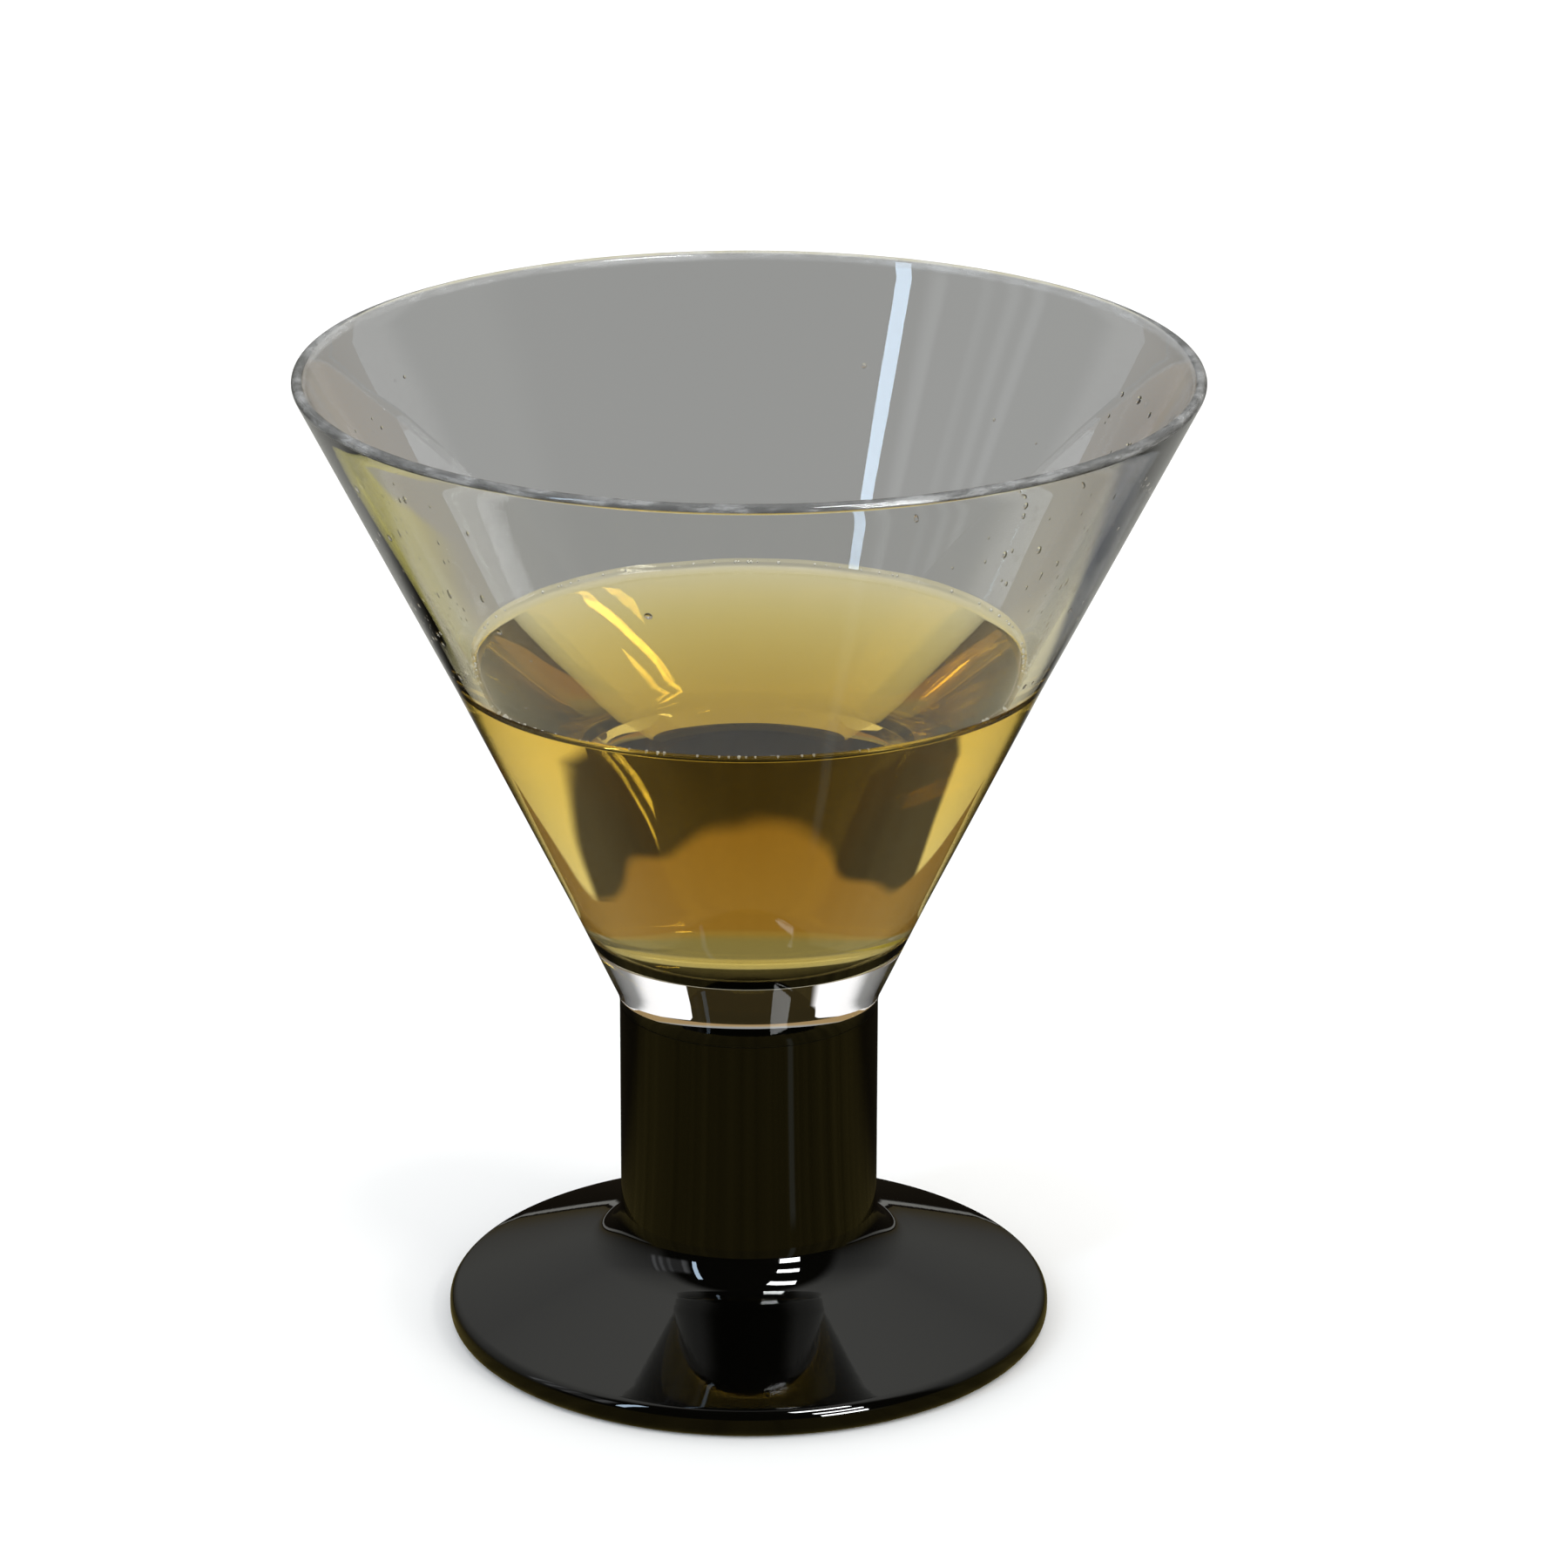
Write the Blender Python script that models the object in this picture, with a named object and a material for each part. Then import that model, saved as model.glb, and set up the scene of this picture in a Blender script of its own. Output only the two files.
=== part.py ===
"""A martini glass: clear cone-shaped bowl, black stem, black foot, and the drink standing in the bowl.

Metres, +Z up. The glass stands on the plane z = 0, and its axis is the Z axis.
Every piece is turned about that axis from an outline of (radius, height) corners.
"""

import math

import bmesh
import bpy
from mathutils import Matrix, Vector

# Between the pieces
JOINT_GAP = 0.0003

# Bowl, outside. The wall runs from the rim to a slight bend, and from the bend to the base's edge.
TOTAL_HEIGHT = 0.1195
RIM_RADIUS = 0.05294
BEND_HEIGHT = 0.06874
BEND_RADIUS = 0.02795
BEND_SOFTNESS = 1.0
BASE_EDGE = 0.00092  # from the bowl's underside to where the wall's line meets the stem's line
BASE_FILLET = 0.0041

# Bowl, inside
RIM_WALL = 0.00145
BEND_WALL = 0.00275  # measured level, as is the floor's radius
BASE_THICKNESS = 0.0082
CUP_FLOOR_RADIUS = 0.01565  # where the cup's wall and floor would meet in a sharp corner
CUP_FILLET = 0.009

# Stem
STEM_RADIUS = 0.0155
STEM_TOP = 0.04065

# Foot
FOOT_RADIUS = 0.03644
FOOT_EDGE = 0.0033  # where the sloping top would meet the outer edge
FOOT_SLOPE = math.radians(19.5)
EDGE_ROUND = 0.0015
NECK_FILLET = 0.0057
REST_RING_INSIDE = 0.027
HOLLOW_DEPTH = 0.0009
HOLLOW_SOFTNESS = 0.08

# Drink
DRINK_DEPTH = 0.03445  # above the middle of the cup's floor
MENISCUS_CLIMB = 0.0013
MENISCUS_REACH = 0.0022
MENISCUS_EDGE = 0.0005  # width left level where the drink meets the glass
MENISCUS_ROUND = 0.003

# How much of a side one rounding may take, where the side's other end is rounded too and where it isn't
SHARED_SIDE = 0.49
LONE_SIDE = 0.98

# Fineness of the turned meshes
TURN_STEPS = 64
ARC_STEP = math.radians(14)
MERGE_DISTANCE = 1e-6
SHARP_ANGLE = math.radians(35)


def rounded(corners):
    """The outline through (radius, height, rounding) corners, each rounding an arc tangent to both sides."""
    outline = [Vector(corners[0][:2])]
    for before, here, after in zip(corners, corners[1:], corners[2:]):
        corner = Vector(here[:2])
        to_before = Vector(before[:2]) - corner
        to_after = Vector(after[:2]) - corner
        half_angle = to_before.angle(to_after) / 2
        room_before = to_before.length * (SHARED_SIDE if before[2] else LONE_SIDE)
        room_after = to_after.length * (SHARED_SIDE if after[2] else LONE_SIDE)
        reach = min(here[2] / math.tan(half_angle), room_before, room_after)
        if reach == 0:
            outline.append(corner)
            continue
        bisector = (to_before.normalized() + to_after.normalized()).normalized()
        centre = corner + bisector * reach / math.cos(half_angle)
        first_spoke = corner + to_before.normalized() * reach - centre
        last_spoke = corner + to_after.normalized() * reach - centre
        turn = math.atan2(first_spoke.cross(last_spoke), first_spoke.dot(last_spoke))
        steps = max(2, math.ceil(abs(turn) / ARC_STEP))
        outline += [centre + Matrix.Rotation(turn * i / steps, 2) @ first_spoke for i in range(steps + 1)]
    outline.append(Vector(corners[-1][:2]))
    return outline


def radius_at(height, corners):
    """The radius at a height on the straight sides that join (radius, height, rounding) corners."""
    for low, high in zip(corners, corners[1:]):
        if low[1] < height <= high[1]:
            share = (height - low[1]) / (high[1] - low[1])
            return low[0] + share * (high[0] - low[0])
    return corners[-1][0]


def glass(name, color, roughness=0.0, ior=1.5, transmission=1.0):
    material = bpy.data.materials.new(name)
    material.use_nodes = True
    shader = material.node_tree.nodes["Principled BSDF"]
    shader.inputs["Base Color"].default_value = (*color, 1)
    shader.inputs["Metallic"].default_value = 0
    shader.inputs["Roughness"].default_value = roughness
    shader.inputs["IOR"].default_value = ior
    shader.inputs["Transmission Weight"].default_value = transmission
    return material


def turned(name, outline, material):
    """One closed piece, spun about Z from an outline that starts and ends on the axis."""
    shape = bmesh.new()
    points = [shape.verts.new((radius, 0, height)) for radius, height in outline]
    sides = [shape.edges.new(pair) for pair in zip(points, points[1:])]
    bmesh.ops.spin(
        shape,
        geom=points + sides,
        cent=(0, 0, 0),
        axis=(0, 0, 1),
        angle=math.tau,
        steps=TURN_STEPS,
        use_merge=True,
    )
    bmesh.ops.remove_doubles(shape, verts=shape.verts, dist=MERGE_DISTANCE)
    mesh = bpy.data.meshes.new(name)
    shape.to_mesh(mesh)
    shape.free()
    mesh.shade_smooth()
    mesh.set_sharp_from_angle(angle=SHARP_ANGLE)
    mesh.materials.append(material)
    piece = bpy.data.objects.new(name, mesh)
    bpy.context.scene.collection.objects.link(piece)
    return piece


def lip_corners():
    """The outer and inner corners of the wall's square end, whose roundings make the lip a half circle."""
    half = RIM_WALL / 2
    lip = Vector((RIM_RADIUS - half, TOTAL_HEIGHT - half))
    up_the_wall = (lip - Vector((BEND_RADIUS - BEND_WALL / 2, BEND_HEIGHT))).normalized()
    outwards = Vector((up_the_wall.y, -up_the_wall.x))
    return lip + (up_the_wall + outwards) * half, lip + (up_the_wall - outwards) * half


def bowl_underside():
    return STEM_TOP + JOINT_GAP


def cup_floor():
    return bowl_underside() + BASE_THICKNESS


def cup_corners(inset):
    """The corners of the cup, from the middle of its floor to the lip, moved inwards by an inset."""
    _, inner_lip = lip_corners()
    lean = math.atan2(BEND_RADIUS - BEND_WALL - CUP_FLOOR_RADIUS, BEND_HEIGHT - cup_floor())
    level_inset = inset / math.cos(lean)
    floor_radius = CUP_FLOOR_RADIUS + inset * math.tan(lean) - level_inset
    return [
        (0, cup_floor() + inset, 0),
        (floor_radius, cup_floor() + inset, CUP_FILLET - inset),
        (BEND_RADIUS - BEND_WALL - level_inset, BEND_HEIGHT, BEND_SOFTNESS),
        (inner_lip.x - level_inset, inner_lip.y, RIM_WALL / 2),
    ]


def bowl():
    outer_lip, _ = lip_corners()
    outline = rounded(
        [
            *cup_corners(inset=0),
            (*outer_lip, RIM_WALL / 2),
            (BEND_RADIUS, BEND_HEIGHT, BEND_SOFTNESS),
            (STEM_RADIUS, bowl_underside() + BASE_EDGE, BASE_FILLET),
            (STEM_RADIUS, bowl_underside(), 0),
            (0, bowl_underside(), 0),
        ]
    )
    return turned("bowl", outline, glass("clear glass", (0.97, 0.98, 0.98)))


def stem():
    outline = rounded(
        [
            (0, STEM_TOP, 0),
            (STEM_RADIUS, STEM_TOP, 0),
            (STEM_RADIUS, neck_top() + JOINT_GAP, 0),
            (0, neck_top() + JOINT_GAP, 0),
        ]
    )
    return turned("stem", outline, glass("black glass", (0.012, 0.011, 0.006), 0.02, transmission=0))


def neck_corner():
    """The height at which the foot's sloping top would meet the stem."""
    return FOOT_EDGE + (FOOT_RADIUS - STEM_RADIUS) * math.tan(FOOT_SLOPE)


def neck_top():
    """The height at which the fillet round the foot's neck runs out into the stem."""
    return neck_corner() + NECK_FILLET * math.tan((math.pi / 2 - FOOT_SLOPE) / 2)


def foot():
    outline = rounded(
        [
            (0, neck_top(), 0),
            (STEM_RADIUS, neck_top(), 0),
            (STEM_RADIUS, neck_corner(), NECK_FILLET),
            (FOOT_RADIUS, FOOT_EDGE, EDGE_ROUND),
            (FOOT_RADIUS, 0, EDGE_ROUND),
            (REST_RING_INSIDE, 0, HOLLOW_SOFTNESS),
            (0, HOLLOW_DEPTH, 0),
        ]
    )
    return turned("foot", outline, glass("black foot glass", (0.012, 0.011, 0.007), 0.02, transmission=0))


def drink():
    level = cup_floor() + DRINK_DEPTH
    top = level + MENISCUS_CLIMB
    cup = cup_corners(inset=JOINT_GAP)
    edge_radius = radius_at(top, cup)
    wetted = [corner for corner in cup if corner[1] < level]
    outline = rounded(
        [
            (0, level, 0),
            (edge_radius - MENISCUS_REACH, level, MENISCUS_ROUND),
            (edge_radius - MENISCUS_EDGE, top, 0),
            (edge_radius, top, 0),
            *reversed(wetted),
        ]
    )
    return turned("drink", outline, glass("amber drink", (0.62, 0.42, 0.07), ior=1.34))


def clear_scene():
    for leftover in list(bpy.data.objects):
        bpy.data.objects.remove(leftover, do_unlink=True)


clear_scene()
for make in (bowl, stem, foot, drink):
    make()
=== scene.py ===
import math
import random

import bmesh
import bpy
from mathutils import Matrix, Vector


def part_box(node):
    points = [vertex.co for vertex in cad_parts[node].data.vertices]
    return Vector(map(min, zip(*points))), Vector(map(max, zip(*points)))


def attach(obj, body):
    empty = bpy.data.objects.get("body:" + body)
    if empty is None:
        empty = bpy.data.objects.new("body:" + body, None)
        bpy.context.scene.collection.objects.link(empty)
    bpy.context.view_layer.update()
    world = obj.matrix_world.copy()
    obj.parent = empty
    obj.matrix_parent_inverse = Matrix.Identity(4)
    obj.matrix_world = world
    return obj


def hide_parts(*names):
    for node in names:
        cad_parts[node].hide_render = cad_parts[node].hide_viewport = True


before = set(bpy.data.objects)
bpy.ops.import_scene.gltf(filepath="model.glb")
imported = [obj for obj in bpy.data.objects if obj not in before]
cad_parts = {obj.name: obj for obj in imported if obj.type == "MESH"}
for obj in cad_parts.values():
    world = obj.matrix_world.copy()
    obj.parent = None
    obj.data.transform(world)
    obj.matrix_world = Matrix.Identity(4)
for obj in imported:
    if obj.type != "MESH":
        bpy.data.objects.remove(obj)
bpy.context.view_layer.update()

bowlLow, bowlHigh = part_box("bowl")
_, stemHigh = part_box("stem")
_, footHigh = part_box("foot")


# Shader wiring: a Wire is one output socket, and arithmetic on it adds Math nodes.
class Wire:
    def __init__(self, nodeTree, socket=None):
        self.nodeTree = nodeTree
        self.socket = socket

    def add(self, kind, settings=None, values=None, output=0):
        node = self.nodeTree.nodes.new("ShaderNode" + kind)
        for key, value in (settings or {}).items():
            if key == "stops":
                fillRamp(node.color_ramp, value)
            else:
                setattr(node, key, value)
        for key, value in (values or {}).items():
            if isinstance(value, Wire):
                self.nodeTree.links.new(value.socket, node.inputs[key])
            else:
                node.inputs[key].default_value = value
        return Wire(self.nodeTree, node.outputs[output])

    def sibling(self, name):
        return Wire(self.nodeTree, self.socket.node.outputs[name])

    def maths(self, operation, other=0.0, swapped=False):
        first, second = (other, self) if swapped else (self, other)
        return self.add("Math", {"operation": operation}, {0: first, 1: second})

    def __add__(self, other):
        return self.maths("ADD", other)

    def __radd__(self, other):
        return self.maths("ADD", other, swapped=True)

    def __sub__(self, other):
        return self.maths("SUBTRACT", other)

    def __rsub__(self, other):
        return self.maths("SUBTRACT", other, swapped=True)

    def __mul__(self, other):
        return self.maths("MULTIPLY", other)

    def __rmul__(self, other):
        return self.maths("MULTIPLY", other, swapped=True)

    def __truediv__(self, other):
        return self.maths("DIVIDE", other)

    def __rtruediv__(self, other):
        return self.maths("DIVIDE", other, swapped=True)

    def __pow__(self, other):
        return self.maths("POWER", other)

    def __rpow__(self, other):
        return self.maths("POWER", other, swapped=True)


def fillRamp(ramp, stops):
    while len(ramp.elements) < len(stops):
        ramp.elements.new(1.0)
    for element, (place, colour) in zip(ramp.elements, stops):
        element.position = place
        element.color = (*colour, 1.0)


def newMaterial(name):
    material = bpy.data.materials.new(name)
    material.use_nodes = True
    material.node_tree.nodes.clear()
    return material, Wire(material.node_tree)


def finishMaterial(surface, volume=None):
    nodeTree = surface.nodeTree
    output = nodeTree.nodes.new("ShaderNodeOutputMaterial")
    nodeTree.links.new(surface.socket, output.inputs["Surface"])
    if volume:
        nodeTree.links.new(volume.socket, output.inputs["Volume"])


def objectPlace(tree):
    return tree.add("TexCoord", output=3)


def splitPlace(place):
    parts = place.add("SeparateXYZ", None, {"Vector": place})
    return [parts.sibling(name) for name in "XYZ"]


def noise(place, scale, detail=2.0, roughness=0.5):
    values = {"Vector": place, "Scale": scale, "Detail": detail, "Roughness": roughness}
    return place.add("TexNoise", None, values)


def noiseAlong(angle, scale, detail):
    values = {"W": angle, "Scale": scale, "Detail": detail}
    return angle.add("TexNoise", {"noise_dimensions": "1D"}, values)


def stretched(place, scale):
    return place.add("Mapping", None, {"Vector": place, "Scale": scale})


def bumped(height, distance, strength=0.05):
    return height.add("Bump", None, {"Height": height, "Strength": strength, "Distance": distance})


def smoothStep(wire, low, high):
    values = {"Value": wire, "From Min": low, "From Max": high}
    return wire.add("MapRange", {"interpolation_type": "SMOOTHSTEP"}, values)


def softEdge(wire, halfWidth):
    return smoothStep(wire, -halfWidth, halfWidth)


def beyond(wire, fade):
    return smoothStep(wire, *fade)


def within(wire, fade):
    return 1 - smoothStep(wire, *fade)


def blendColours(factor, first, second):
    values = {"Factor": factor, 6: first, 7: second}  # 6 and 7 are the two colours, and output 2 their blend
    return factor.add("Mix", {"data_type": "RGBA"}, values, output=2)


def layColours(base, layers):
    for factor, colour in layers:
        base = blendColours(factor, base, colour)
    return base


# Turning: an outline of (radius, height, fillet) corners is spun, and its rings are bevelled.
turning = {
    "spinSteps": 256,
    "ringGap": 0.002,
    "filletStep": math.radians(6),
    "sharpAngle": math.radians(35),
    "mergeDistance": 1e-6,
    "ringSlack": 2e-6,
}


def turnPiece(name, corners):
    bm = bmesh.new()
    dots = [bm.verts.new((radius, 0, height)) for radius, height, _ in corners]
    lines = [bm.edges.new(pair) for pair in zip(dots, dots[1:])]
    bmesh.ops.spin(
        bm,
        geom=dots + lines,
        cent=(0, 0, 0),
        axis=(0, 0, 1),
        angle=math.tau,
        steps=turning["spinSteps"],
        use_merge=True,
    )
    bmesh.ops.remove_doubles(bm, verts=bm.verts, dist=turning["mergeDistance"])
    for before, corner, after in zip(corners, corners[1:], corners[2:]):
        if corner[2]:
            bevelRing(bm, before, corner, after)
    splitLongSides(bm)
    bmesh.ops.recalc_face_normals(bm, faces=bm.faces)
    if bm.calc_volume(signed=True) < 0:
        bmesh.ops.reverse_faces(bm, faces=bm.faces)
    return meshObject(name, bm)


def bevelRing(bm, before, corner, after):
    incoming = Vector(corner[:2]) - Vector(before[:2])
    outgoing = Vector(after[:2]) - Vector(corner[:2])
    turn = incoming.angle(outgoing)
    ring = [edge for edge in bm.edges if all(onRing(vert, corner) for vert in edge.verts)]
    bmesh.ops.bevel(
        bm,
        geom=ring,
        offset=corner[2] * math.tan(turn / 2),
        offset_type="OFFSET",
        segments=max(3, math.ceil(turn / turning["filletStep"])),
        profile=0.5,
        affect="EDGES",
        material=-1,
    )


def onRing(vert, corner):
    radius = math.hypot(vert.co.x, vert.co.y)
    slack = turning["ringSlack"]
    return abs(radius - corner[0]) < slack and abs(vert.co.z - corner[1]) < slack


def splitLongSides(bm):
    # only the sides that run up and down, away from the axis
    gap = turning["ringGap"]
    groups = {}
    for edge in bm.edges:
        first, second = (Vector((math.hypot(v.co.x, v.co.y), v.co.z)) for v in edge.verts)
        cuts = round((first - second).length / gap) - 1
        if cuts > 0 and min(first.x, second.x) > gap:
            groups.setdefault(cuts, []).append(edge)
    for cuts, edges in groups.items():
        bmesh.ops.subdivide_edges(bm, edges=edges, cuts=cuts, use_grid_fill=True)


def meshObject(name, bm, sharpAngle=turning["sharpAngle"]):
    mesh = bpy.data.meshes.new(name)
    bm.to_mesh(mesh)
    bm.free()
    mesh.shade_smooth()
    mesh.set_sharp_from_angle(angle=sharpAngle)
    piece = bpy.data.objects.new(name, mesh)
    bpy.context.scene.collection.objects.link(piece)
    return piece


def keepPiece(piece, material, slot, *nodes):
    piece.data.materials.append(material)
    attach(piece, "root")
    if nodes:
        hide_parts(*nodes)


# Bowl: clear glass, a cone with a thick solid base
bowlSpec = {
    "lipWall": 0.00145,
    "lipEase": 0.00001,  # keeps the smoother lip from standing past the faceted one
    "lipRounding": 0.49,  # share of the lip's wall: near a half, the lip is a half circle
    "bendHeight": 0.06874,
    "bendRadius": 0.02795,
    "bendWall": 0.00275,
    "bendFillet": 1.0,
    "baseEdge": 0.00092,
    "baseFillet": 0.0041,
    "baseThickness": 0.0082,
    "floorRadius": 0.01565,
    "floorFillet": 0.009,
    "bendOfLight": 1.5,
    "paleTint": (0.985, 0.992, 0.99, 1),
    "deepTint": (0.97, 0.98, 0.985, 1),
    "smearScale": 55,
    "smearFade": (0.62, 0.8),
    "smearRoughness": 0.03,
    "rippleDepth": 0.003,
    "swellScale": 28,
    "drawnScale": 70,
    "drawnStretch": (1, 1, 0.12),
    "drawnShare": 0.4,
    "ringScale": 60,
    "ringStretch": (0.5, 0.5, 5),
    "ringShare": 0.12,
    "ringFade": (0.007, 0.001),  # below the rim, as is the frost's
    "frostFade": (0.0011, 0.0006),
    "frostColour": (0.62, 0.63, 0.63, 1),
    "frostRoughness": 0.25,
    "frostTransmission": 0.35,
    "frostLeast": 0.26,
    "frostStreaks": 0.42,
    "streakScale": 150,
    "streakStretch": (1, 1, 6),
    "streakFade": (0.4, 0.65),
}
rimRadius = bowlHigh.x - bowlSpec["lipEase"]
rimHeight = bowlHigh.z - bowlSpec["lipEase"]
stemRadius = stemHigh.x
seamHeight = bowlLow.z
floorHeight = seamHeight + bowlSpec["baseThickness"]
bendInside = bowlSpec["bendRadius"] - bowlSpec["bendWall"]


def lipCorners():
    half = bowlSpec["lipWall"] / 2
    lip = Vector((rimRadius - half, rimHeight - half))
    bend = Vector((bowlSpec["bendRadius"] - bowlSpec["bendWall"] / 2, bowlSpec["bendHeight"]))
    upTheWall = (lip - bend).normalized()
    outwards = Vector((upTheWall.y, -upTheWall.x))
    return lip + (upTheWall + outwards) * half, lip + (upTheWall - outwards) * half


def cupCorners(outset=0.0):
    # floor middle, floor edge, bend and lip, pushed into the glass by the outset
    _, innerLip = lipCorners()
    lean = math.atan2(bendInside - bowlSpec["floorRadius"], bowlSpec["bendHeight"] - floorHeight)
    level = outset / math.cos(lean)
    floorRadius = bowlSpec["floorRadius"] + level - outset * math.tan(lean)
    return [
        (0, floorHeight - outset, 0),
        (floorRadius, floorHeight - outset, bowlSpec["floorFillet"] + outset),
        (bendInside + level, bowlSpec["bendHeight"], bowlSpec["bendFillet"]),
        (innerLip.x + level, innerLip.y, bowlSpec["lipWall"] * bowlSpec["lipRounding"]),
    ]


def nearRim(height, fade):
    return smoothStep(height, rimHeight - fade[0], rimHeight - fade[1])


def clearGlass():
    material, tree = newMaterial("clearGlass")
    place = objectPlace(tree)
    _, _, height = splitPlace(place)
    swell = noise(place, bowlSpec["swellScale"], detail=0.0)
    drawn = noise(stretched(place, bowlSpec["drawnStretch"]), bowlSpec["drawnScale"], detail=1.0)
    ringing = noise(stretched(place, bowlSpec["ringStretch"]), bowlSpec["ringScale"], detail=1.0)
    ringing = ringing * nearRim(height, bowlSpec["ringFade"])
    relief = drawn * bowlSpec["drawnShare"] + swell + ringing * bowlSpec["ringShare"]
    smear = noise(place, bowlSpec["smearScale"], detail=5.0, roughness=0.7)
    smear = beyond(smear, bowlSpec["smearFade"])
    glass = tree.add(
        "BsdfPrincipled",
        None,
        {
            "Base Color": blendColours(swell, bowlSpec["paleTint"], bowlSpec["deepTint"]),
            "Roughness": smear * bowlSpec["smearRoughness"],
            "IOR": bowlSpec["bendOfLight"],
            "Transmission Weight": 1.0,
            "Normal": bumped(relief, bowlSpec["rippleDepth"]),
        },
    )
    # the fire-polished lip scatters a little light
    streak = stretched(place, bowlSpec["streakStretch"])
    streak = noise(streak, bowlSpec["streakScale"], detail=4.0, roughness=0.7)
    share = bowlSpec["frostLeast"] + beyond(streak, bowlSpec["streakFade"]) * bowlSpec["frostStreaks"]
    frost = tree.add(
        "BsdfPrincipled",
        None,
        {
            "Base Color": bowlSpec["frostColour"],
            "Roughness": bowlSpec["frostRoughness"],
            "Transmission Weight": bowlSpec["frostTransmission"],
        },
    )
    lip = nearRim(height, bowlSpec["frostFade"]) * share
    finishMaterial(tree.add("MixShader", None, {0: lip, 1: glass, 2: frost}))
    return material


def makeBowl():
    outerLip, _ = lipCorners()
    bowl = turnPiece(
        "bowlGlass",
        [
            *cupCorners(),
            (*outerLip, bowlSpec["lipWall"] * bowlSpec["lipRounding"]),
            (bowlSpec["bendRadius"], bowlSpec["bendHeight"], bowlSpec["bendFillet"]),
            (stemRadius, seamHeight + bowlSpec["baseEdge"], bowlSpec["baseFillet"]),
            (stemRadius, seamHeight, 0),
            (0, seamHeight, 0),
        ],
    )
    bowl.visible_shadow = False
    keepPiece(bowl, clearGlass(), "clear_glass", "bowl")
    print("bowl turned")


# Drink: it wets the glass, so its sides lie a hair inside the wall
drinkSpec = {
    "depth": 0.03445,
    "climb": 0.0011,
    "reach": 0.0010,
    "meniscusFillet": 0.0016,
    "wetting": 0.00012,
    "bendOfLight": 1.345,
    "paleTint": (1.0, 0.985, 0.93, 1),
    "deepTint": (0.985, 0.96, 0.88, 1),
    "bodyColour": (0.88, 0.73, 0.0, 1),
    "bodyStrength": 48.0,
    "swayScale": 45,
    "swayDepth": 0.002,
}
drinkLevel = floorHeight + drinkSpec["depth"]


def amberDrink():
    material, tree = newMaterial("amberDrink")
    sway = noise(objectPlace(tree), drinkSpec["swayScale"], detail=0.0)
    surface = tree.add(
        "BsdfPrincipled",
        None,
        {
            "Base Color": blendColours(sway, drinkSpec["paleTint"], drinkSpec["deepTint"]),
            "Roughness": 0.0,
            "IOR": drinkSpec["bendOfLight"],
            "Transmission Weight": 1.0,
            "Normal": bumped(sway, drinkSpec["swayDepth"]),
        },
    )
    values = {"Color": drinkSpec["bodyColour"], "Density": drinkSpec["bodyStrength"]}
    finishMaterial(surface, tree.add("VolumeAbsorption", None, values))
    return material


def makeDrink():
    top = drinkLevel + drinkSpec["climb"]
    middle, floorEdge, bend, lip = cupCorners(drinkSpec["wetting"])
    edge = bend[0] + (top - bend[1]) / (lip[1] - bend[1]) * (lip[0] - bend[0])
    drink = turnPiece(
        "amberDrink",
        [
            (0, drinkLevel, 0),
            (edge - drinkSpec["reach"], drinkLevel, drinkSpec["meniscusFillet"]),
            (edge, top, 0),
            bend,
            floorEdge,
            middle,
        ],
    )
    drink.visible_shadow = False
    keepPiece(drink, amberDrink(), "amber_drink", "drink")
    print("drink poured")


# Beads: droplets left on the wall above the drink, and fine bubbles round its edge
beadSpec = {
    "seed": 11,
    "droplets": 150,
    "dropletSmallest": 0.00018,
    "dropletLargest": 0.0006,
    "dropletFlatness": 0.45,
    "dropletFinish": ("waterDroplet", (0.97, 0.98, 1, 1), 0.0, 1.0),  # tint, roughness, transmission
    "dropletsFrom": 0.003,  # above the drink
    "dropletsSpan": 0.026,
    "dropletSpread": (0.1, 0.35),  # middle and width of each side's patch, in radians
    "bubbles": 90,
    "bubbleSmallest": 0.00014,
    "bubbleExtra": 0.0001,
    "bubbleClimb": 0.75,  # share of the drink's climb at the wall
    "bubbleInset": 1.1,  # in bubble radii
    "bubbleFinish": ("paleBubble", (0.95, 0.92, 0.75, 1), 0.1, 0.6),
    "bendOfLight": 1.33,
    "cloudScale": 900,
}


def wallAt(height):
    # the inner wall's radius at a height, and its lean
    _, innerLip = lipCorners()
    slope = (innerLip.x - bendInside) / (innerLip.y - bowlSpec["bendHeight"])
    return bendInside + slope * (height - bowlSpec["bendHeight"]), math.atan(slope)


def addBead(bm, angle, radius, height, size, flatness=1.0, tilt=0.0):
    spot = Matrix.Translation((radius * math.cos(angle), radius * math.sin(angle), height))
    lean = Matrix.Rotation(angle, 4, "Z") @ Matrix.Rotation(tilt, 4, "Y")
    squash = Matrix.Diagonal((size * flatness, size, size, 1))
    bmesh.ops.create_icosphere(bm, subdivisions=2, radius=1, matrix=spot @ lean @ squash)


def beadMaterial(name, tint, roughness, transmission):
    material, tree = newMaterial(name)
    cloud = noise(objectPlace(tree), beadSpec["cloudScale"])
    values = {
        "Base Color": blendColours(cloud, tint, (1, 1, 1, 1)),
        "Roughness": roughness,
        "IOR": beadSpec["bendOfLight"],
        "Transmission Weight": transmission,
    }
    finishMaterial(tree.add("BsdfPrincipled", None, values))
    return material


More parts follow.
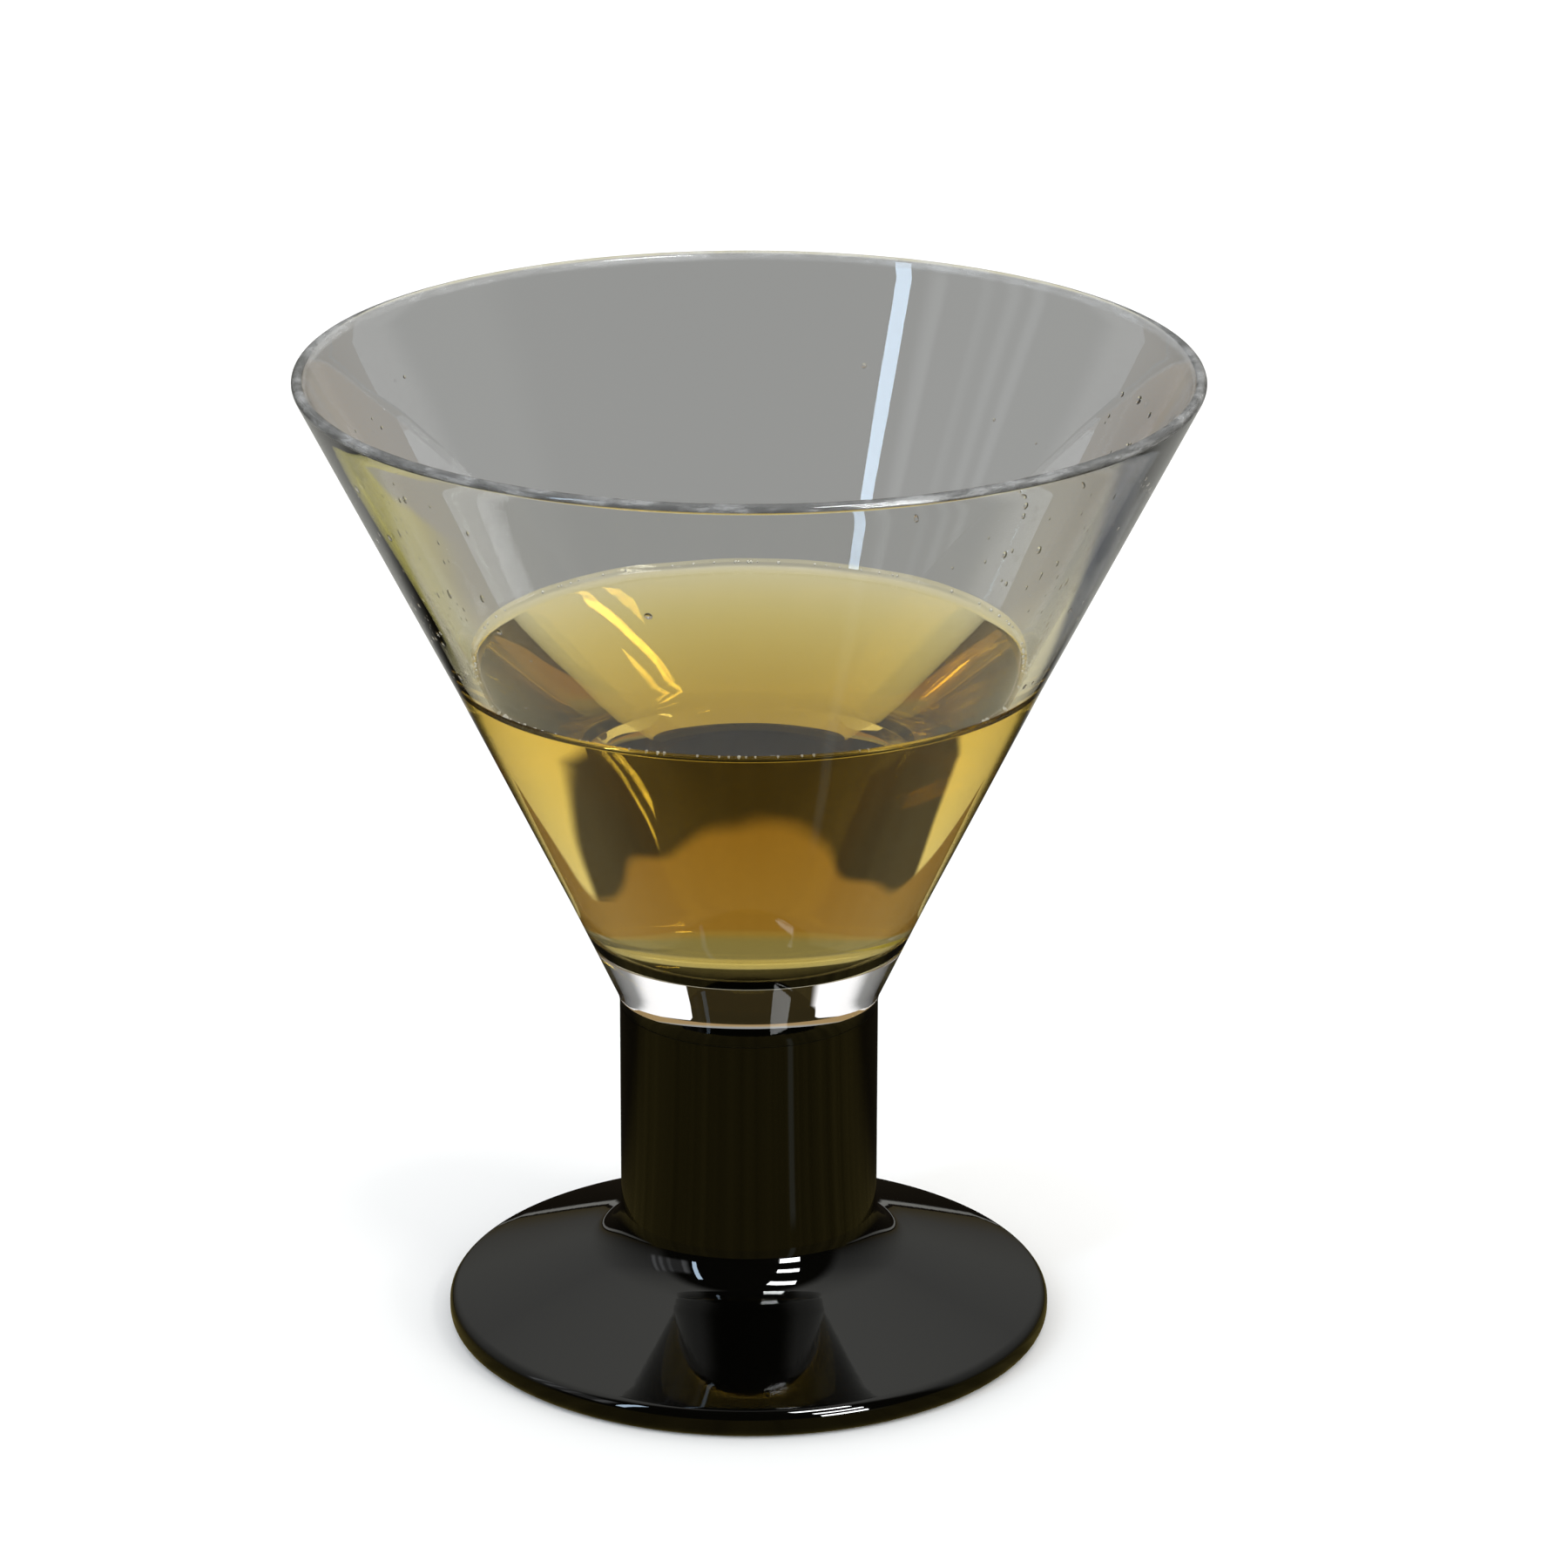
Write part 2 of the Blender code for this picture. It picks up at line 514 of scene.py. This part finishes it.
def makeDroplets(chance):
    bm = bmesh.new()
    sizeRange = beadSpec["dropletLargest"] - beadSpec["dropletSmallest"]
    for number in range(beadSpec["droplets"]):
        angle = math.pi * (number % 2) + chance.gauss(*beadSpec["dropletSpread"])
        rise = beadSpec["dropletsFrom"] + beadSpec["dropletsSpan"] * chance.random() ** 1.3
        height = drinkLevel + rise
        radius, tilt = wallAt(height)
        size = beadSpec["dropletSmallest"] + sizeRange * chance.random() ** 3
        addBead(bm, angle, radius, height, size, beadSpec["dropletFlatness"], tilt)
    droplets = meshObject("droplets", bm, math.pi)
    droplets.visible_shadow = False
    keepPiece(droplets, beadMaterial(*beadSpec["dropletFinish"]), "clear_glass")


def makeBubbles(chance):
    bm = bmesh.new()
    height = drinkLevel + drinkSpec["climb"] * beadSpec["bubbleClimb"]
    radius, _ = wallAt(height)
    for _ in range(beadSpec["bubbles"]):
        angle = chance.uniform(0, math.tau)
        size = beadSpec["bubbleSmallest"] + beadSpec["bubbleExtra"] * chance.random() ** 2
        addBead(bm, angle, radius - size * beadSpec["bubbleInset"], height, size)
    bubbles = meshObject("bubbles", bm, math.pi)
    bubbles.visible_shadow = False
    keepPiece(bubbles, beadMaterial(*beadSpec["bubbleFinish"]), "amber_drink")


def makeBeads():
    chance = random.Random(beadSpec["seed"])
    makeDroplets(chance)
    makeBubbles(chance)
    print("beads scattered")


# Black glass, coloured all through, for the stem and the foot
blackSpec = {
    "bendOfLight": 1.5,
    "cloudScale": 60,
    "cloudTimes": (1.5, 1.45, 1.2),  # times the colour, where it is cloudy
    "leastRoughness": 0.02,
    "smearFade": (0.5, 0.78),
    "smearRoughness": 0.06,
    "rippleDepth": 0.003,
    "swellScale": 30,
    "grainShare": 0.01,
    "fusedScale": 200,
    "fusedTints": ((0.003, 0.003, 0.002, 1), (0.007, 0.006, 0.003, 1)),
}


def blackGlass(name, colour, grainScale):
    material, tree = newMaterial(name)
    place = objectPlace(tree)
    cloud = noise(place, blackSpec["cloudScale"], detail=4.0, roughness=0.6)
    swell = noise(place, blackSpec["swellScale"], detail=0.0)
    grain = noise(place, grainScale)
    cloudy = [tone * times for tone, times in zip(colour, blackSpec["cloudTimes"])]
    smear = beyond(cloud, blackSpec["smearFade"])
    shader = tree.add(
        "BsdfPrincipled",
        None,
        {
            "Base Color": blendColours(cloud, (*colour, 1), (*cloudy, 1)),
            "Roughness": smear * blackSpec["smearRoughness"] + blackSpec["leastRoughness"],
            "IOR": blackSpec["bendOfLight"],
            "Normal": bumped(swell + grain * blackSpec["grainShare"], blackSpec["rippleDepth"]),
        },
    )
    finishMaterial(shader)
    return material


def fusedBlack():
    material, tree = newMaterial("fusedBlack")
    cloud = noise(objectPlace(tree), blackSpec["fusedScale"])
    tint = blendColours(cloud, *blackSpec["fusedTints"])
    finishMaterial(tree.add("BsdfPrincipled", None, {"Base Color": tint, "Roughness": 1.0, "IOR": 1.0}))
    return material


# Stem: its top is fused to the bowl's base, so it has no gloss of its own there
stemSpec = {
    "seamLap": 0.0001,
    "topEdge": 0.00004,
    "colour": (0.0022, 0.0018, 0.0006),
    "grainScale": 900,
}


def makeStem():
    lap = stemSpec["seamLap"]
    topRadius = stemRadius - stemSpec["topEdge"]
    stem = turnPiece(
        "stemGlass",
        [
            (0, seamHeight + lap, 0),
            (topRadius, seamHeight + lap, 0),
            (topRadius, seamHeight - lap, 0),
            (stemRadius, seamHeight - lap, 0),
            (stemRadius, footHigh.z - lap, 0),
            (0, footHigh.z - lap, 0),
        ],
    )
    glass = blackGlass("blackStem", stemSpec["colour"], stemSpec["grainScale"])
    keepPiece(stem, glass, "black_stem_glass", "stem")
    stem.data.materials.append(fusedBlack())
    for face in stem.data.polygons:
        if face.center.z > seamHeight - lap * 1.5:
            face.material_index = 1
    print("stem turned")


# Foot: a low cone, hollowed a little underneath
footSpec = {
    "slope": math.radians(19.5),
    "edge": 0.0033,
    "edgeRound": 0.0015,
    "neckFillet": 0.0057,
    "ringInside": 0.027,
    "hollow": 0.0009,
    "hollowFillet": 0.08,
    "colour": (0.0008, 0.0008, 0.0007),
    "grainScale": 1400,
}


def makeFoot():
    footRadius = footHigh.x
    neckHeight = footSpec["edge"] + (footRadius - stemRadius) * math.tan(footSpec["slope"])
    foot = turnPiece(
        "footGlass",
        [
            (0, footHigh.z, 0),
            (stemRadius, footHigh.z, 0),
            (stemRadius, neckHeight, footSpec["neckFillet"]),
            (footRadius, footSpec["edge"], footSpec["edgeRound"]),
            (footRadius, 0, footSpec["edgeRound"]),
            (footSpec["ringInside"], 0, footSpec["hollowFillet"]),
            (0, footSpec["hollow"], 0),
        ],
    )
    glass = blackGlass("blackFoot", footSpec["colour"], footSpec["grainScale"])
    keepPiece(foot, glass, "black_foot_glass", "foot")
    print("foot turned")


# Camera: metres, degrees and millimetres of lens
cameraSpec = {
    "back": 0.6941,
    "height": 0.3214,
    "pitch": 20.03,
    "turn": -0.342,
    "roll": 0.145,
    "lens": 143.05,
    "farthest": 50,
}


def makeCamera():
    data = bpy.data.cameras.new("camera")
    data.lens = cameraSpec["lens"]
    data.clip_end = cameraSpec["farthest"]
    camera = bpy.data.objects.new("camera", data)
    bpy.context.scene.collection.objects.link(camera)
    pitch = Matrix.Rotation(math.radians(90 - cameraSpec["pitch"]), 4, "X")
    turn = Matrix.Rotation(math.radians(cameraSpec["turn"]), 4, "Z")
    roll = Matrix.Rotation(math.radians(cameraSpec["roll"]), 4, "Z")
    place = Matrix.Translation((0, -cameraSpec["back"], cameraSpec["height"]))
    camera.matrix_world = place @ turn @ pitch @ roll
    bpy.context.scene.camera = camera


# Studio: plain and pale to the camera. Rays that come from the glass meet soft zones of tone instead; on the
# floor these glow, painted light and shade that no lamp casts.
# A pair of numbers is the two ends of a fade: metres on the floor, degrees on the backdrop. Bearings
# run from +Y towards +X.
studio = {
    "glassTones": 1.0,  # 0 makes the studio as plain to the glass as it is to the camera
    "floorSize": 14.0,
    "floorColour": (0.86, 0.86, 0.85, 1),
    "backdrop": (0.95, 0.95, 0.95, 1),
    "skylight": (1.3, 1.3, 1.3, 1),  # the backdrop as it lights the floor
    # floor, to rays that have passed through the glass: it glows, with painted light and shade round the
    # glass
    "floorRings": [
        (0.0, (0.5, 0.45, 0.30)),
        (0.09, (0.74, 0.68, 0.42)),
        (0.16, (0.72, 0.67, 0.48)),
        (0.23, (0.33, 0.33, 0.32)),
        (0.60, (0.33, 0.33, 0.32)),
        (0.95, (0.42, 0.33, 0.20)),
    ],
    "aroundGlass": (0.15, 0.17),
    # a painted pool of warm light on the floor, left of the glass
    "paintedLightTone": (0.55, 0.50, 0.15, 1),
    "leftReach": (0.255, 0.265),
    "leftSide": (-0.09, -0.06),
    # painted shade on the floor, right of the glass
    "paintedShadeTone": (0.2, 0.21, 0.225, 1),
    "rightReach": (0.3, 0.4),
    "rightSide": (0.06, 0.09),
    # a painted shadow on the floor in front of the glass, nearly black
    "paintedShadowTone": (0.07, 0.05, 0.018, 1),
    "nearReach": (0.16, 0.26),
    "nearSide": (-0.06, 0.02),
    "farTone": (0.39, 0.26, 0.12, 1),
    "farReach": (1.0, 1.6),
    # floor, to rays that have bounced off the glass: it glows here too, with a painted gleam of light along
    # one bearing
    "closeDark": (0.07, 0.055, 0.016, 1),
    "closeLight": (0.22, 0.175, 0.055, 1),
    "closeScale": 0.13,
    # a painted strip of light on the floor
    "gleamTone": (0.34, 0.34, 0.26, 1),
    "gleamBearing": 145.5,
    "gleamEdge": (1.17, 3.25),  # degrees from its bearing
    "gleamReach": (0.052, 0.06),
    "behindTone": (0.015, 0.012, 0.008, 1),
    "behindSide": (0.0, 0.05),
    "paleTone": (0.42, 0.42, 0.39, 1),
    "paleReach": (0.16, 0.22),
    "paleEnd": (0.4, 0.5),
    "paleSide": (-0.02, 0.08),
    # backdrop, to rays that have passed through: dark cards under a bright band, dimmer higher up
    "cardPitch": 90.0,
    "cardFoot": -0.12,
    "cardFootCurve": 0.0067,
    "cardFootEdge": 0.06,
    "cardTop": 9.3,
    "cardTopEdge": 0.35,
    "cardLeft": (-22.5, -19.5),
    "cardLeftDrop": 3.0,
    "cardRight": (16.5, 18.0),
    "cardRightDrop": 8.9,
    "cardRightSlope": 0.18,
    "darkCard": (0.028, 0.021, 0.008, 1),
    "brightBand": (1.2, 1.18, 1.18, 1),
    "brightTop": 15.0,
    "brightTopEdge": 2.0,
    "highTones": [
        (0.13, (0.8, 0.82, 0.85)),
        (0.3, (0.33, 0.33, 0.33)),
        (0.5, (0.16, 0.16, 0.16)),
        (0.66, (0.01, 0.01, 0.01)),
    ],
    # backdrop, to rays that have bounced off: brighter higher up, dark in front but for a pleated screen
    "mirroredTones": [
        (0.0, (0.10, 0.08, 0.04)),
        (0.10, (0.16, 0.155, 0.14)),
        (0.26, (0.28, 0.28, 0.26)),
        (0.55, (0.45, 0.45, 0.43)),
        (0.86, (0.85, 0.85, 0.80)),
        (1.0, (0.9, 0.9, 0.86)),
    ],
    "frontTone": (0.02, 0.018, 0.012, 1),
    "frontSide": (-0.32, -0.06),  # in the y of the ray's direction
    "screenMiddle": -106.0,
    "screenHalf": 19.0,
    "screenEdge": 3.0,
    "screenFoot": (12.0, 18.0),
    "screenTop": (34.0, 40.0),
    "pleatScale": 0.075,
    "pleatFade": (0.42, 0.6),  # in the noise's own value
    "pleatDark": (0.35, 0.35, 0.35, 1),
    "pleatLight": (1.2, 1.23, 1.26, 1),
    # lamps: name, place, size and watts
    "strip": ("windowStrip", (-0.97, -0.88, 0.80), (0.10, 0.9), 4.0),
    "stripColour": (0.62, 0.8, 1),
    "glows": (
        ("highLamp", (0.97, -0.88, 1.17), (0.30, 0.10), 2.5),
        ("lowLamp", (0.97, -0.88, 0.44), (0.44, 0.030), 2.6),
        ("lowerLamp", (0.97, -0.88, 0.37), (0.36, 0.020), 1.5),
    ),
    "glowColour": (1, 1, 0.95),
    # three panes, one above the other: name, elevation and height
    "panes": (("lowPane", 8, 0.22), ("middlePane", 30, 0.14), ("highPane", 54, 0.16)),
    "paneBearing": 145.0,
    "paneDistance": 1.3,
    "paneLift": 0.01,
    "paneWidth": 0.40,
    "paneWatts": 60,  # per metre of height
    "paneColour": (0.97, 1, 1),
    "aimHeight": 0.06,
    "bounces": 24,
    "glossyBounces": 8,
}


def bearing(x, y):
    return x.maths("ARCTAN2", y) * math.degrees(1)


def reflectedRays(rays):
    # a ray that has passed through glass counts as glossy too
    return rays.sibling("Is Glossy Ray") * (1 - rays.sibling("Is Transmission Ray"))


def plainRays(rays):
    return 1 - (1 - rays.sibling("Is Camera Ray")) * studio["glassTones"]


def floorThroughGlass(x, y, distance):
    around = beyond(distance, studio["aroundGlass"])
    # a painted pool of warm light, left of the glass
    litPatch = within(distance, studio["leftReach"]) * within(x, studio["leftSide"]) * around
    # painted shade, right of the glass
    shadedPatch = within(distance, studio["rightReach"]) * beyond(x, studio["rightSide"]) * around
    # a painted shadow, in front of the glass
    shadowedPatch = within(y, studio["nearSide"]) * within(distance, studio["nearReach"])
    rings = x.add("ValToRGB", {"stops": studio["floorRings"]}, {"Fac": distance})
    layers = [
        (litPatch, studio["paintedLightTone"]),
        (shadedPatch, studio["paintedShadeTone"]),
        (shadowedPatch, studio["paintedShadowTone"]),
        (beyond(distance, studio["farReach"]), studio["farTone"]),
    ]
    return layColours(rings, layers)


def floorOffGlass(x, y, distance):
    angle = bearing(x, y)
    grain = noiseAlong(angle, studio["closeScale"], 3.0)
    close = blendColours(grain, studio["closeDark"], studio["closeLight"])
    # the gleam: a painted strip of light on the floor, along one bearing
    gleam = within((angle - studio["gleamBearing"]).maths("PINGPONG", 180.0), studio["gleamEdge"])
    pale = beyond(distance, studio["paleReach"]) * within(distance, studio["paleEnd"])
    layers = [
        (gleam * beyond(distance, studio["gleamReach"]), studio["gleamTone"]),
        (beyond(y, studio["behindSide"]), studio["behindTone"]),
        (pale * beyond(y, studio["paleSide"]), studio["paleTone"]),
    ]
    return layColours(close, layers)


def makeFloor():
    bm = bmesh.new()
    bmesh.ops.create_circle(bm, cap_ends=True, segments=96, radius=studio["floorSize"] / 2)
    floor = meshObject("floor", bm)
    material, tree = newMaterial("paleFloor")
    x, y, _ = splitPlace(objectPlace(tree))
    distance = (x * x + y * y) ** 0.5
    rays = tree.add("LightPath")
    tones = blendColours(
        reflectedRays(rays),
        floorThroughGlass(x, y, distance),
        floorOffGlass(x, y, distance),
    )
    # to rays from the glass the floor glows: these tones are painted light and shade, not lit by the lamps
    paintedRoomLight = tree.add("Emission", None, {"Color": tones, "Strength": 1.0})
    pale = tree.add("BsdfDiffuse", None, {"Color": studio["floorColour"]})
    finishMaterial(tree.add("MixShader", None, {0: plainRays(rays), 1: paintedRoomLight, 2: pale}))
    floor.data.materials.append(material)


def backdropThroughGlass(angle, rise, elevation):
    # one card in each quarter: level at its middle, lower steps at its ends, its foot curving up
    turns = angle / studio["cardPitch"] + 0.5
    sector = (turns - turns.maths("FLOOR") - 0.5) * studio["cardPitch"]
    foot = studio["cardFoot"] + sector * sector * studio["cardFootCurve"]
    rightDrop = beyond(sector, studio["cardRight"]) * (
        studio["cardRightDrop"] - sector * studio["cardRightSlope"]
    )
    leftDrop = within(sector, studio["cardLeft"]) * studio["cardLeftDrop"]
    top = studio["cardTop"] - rightDrop - leftDrop
    aboveCard = softEdge(elevation - top, studio["cardTopEdge"])
    cards = blendColours(aboveCard, studio["darkCard"], studio["brightBand"])
    aboveFloor = softEdge(elevation - foot, studio["cardFootEdge"])
    low = blendColours(aboveFloor, studio["farTone"], cards)
    high = rise.add("ValToRGB", {"stops": studio["highTones"]}, {"Fac": rise})
    return blendColours(softEdge(elevation - studio["brightTop"], studio["brightTopEdge"]), low, high)


def backdropOffGlass(angle, rise, elevation, y):
    tones = rise.add("ValToRGB", {"stops": studio["mirroredTones"]}, {"Fac": rise})
    tones = blendColours(beyond(y, studio["frontSide"]), studio["frontTone"], tones)
    fromMiddle = (angle - studio["screenMiddle"]).maths("ABSOLUTE")
    screen = softEdge(studio["screenHalf"] - fromMiddle, studio["screenEdge"])
    screen = screen * beyond(elevation, studio["screenFoot"]) * within(elevation, studio["screenTop"])
    folds = beyond(noiseAlong(angle, studio["pleatScale"], 1.0), studio["pleatFade"])
    return blendColours(screen, tones, blendColours(folds, studio["pleatDark"], studio["pleatLight"]))


def makeWorld():
    world = bpy.data.worlds.new("studio")
    world.use_nodes = True
    world.node_tree.nodes.clear()
    tree = Wire(world.node_tree)
    x, y, rise = splitPlace(tree.add("TexCoord"))  # the ray's direction
    angle = bearing(x, y)
    elevation = rise.maths("ARCSINE") * math.degrees(1)
    rays = tree.add("LightPath")
    through = backdropThroughGlass(angle, rise, elevation)
    off = backdropOffGlass(angle, rise, elevation, y)
    layers = [
        (plainRays(rays), studio["backdrop"]),
        (rays.sibling("Is Diffuse Ray"), studio["skylight"]),
    ]
    colour = layColours(blendColours(reflectedRays(rays), through, off), layers)
    background = tree.add("Background", None, {"Color": colour, "Strength": 1.0})
    output = world.node_tree.nodes.new("ShaderNodeOutputWorld")
    world.node_tree.links.new(background.socket, output.inputs["Surface"])
    bpy.context.scene.world = world


def addSoftbox(name, place, size, watts, colour):
    light = bpy.data.lights.new(name, "AREA")
    light.shape = "RECTANGLE"
    light.size, light.size_y = size
    light.energy = watts
    light.color = colour
    box = bpy.data.objects.new(name, light)
    bpy.context.scene.collection.objects.link(box)
    box.location = place
    aim = Vector((0, 0, studio["aimHeight"])) - Vector(place)
    box.rotation_euler = aim.to_track_quat("-Z", "Y").to_euler()
    return box


def addPanes():
    sideways = math.radians(studio["paneBearing"])
    reach = studio["paneDistance"]
    for name, lean, tall in studio["panes"]:
        upwards = math.radians(lean)
        level = reach * math.cos(upwards)
        height = reach * math.sin(upwards) + studio["paneLift"]
        place = (level * math.sin(sideways), level * math.cos(sideways), height)
        size = (studio["paneWidth"], tall)
        pane = addSoftbox(name, place, size, studio["paneWatts"] * tall, studio["paneColour"])
        pane.visible_transmission = False
        pane.visible_diffuse = False


def makeStudio():
    makeFloor()
    makeWorld()
    addPanes()
    strip = addSoftbox(*studio["strip"], studio["stripColour"])
    strip.visible_transmission = False
    for glow in studio["glows"]:
        addSoftbox(*glow, studio["glowColour"]).visible_glossy = False
    scene = bpy.context.scene
    scene.view_settings.view_transform = "Standard"
    scene.cycles.max_bounces = studio["bounces"]
    scene.cycles.transmission_bounces = studio["bounces"]
    scene.cycles.glossy_bounces = studio["glossyBounces"]
    scene.cycles.caustics_reflective = False
    scene.cycles.caustics_refractive = False
    print("studio lit")


makeCamera()
makeBowl()
makeDrink()
makeBeads()
makeStem()
makeFoot()
makeStudio()
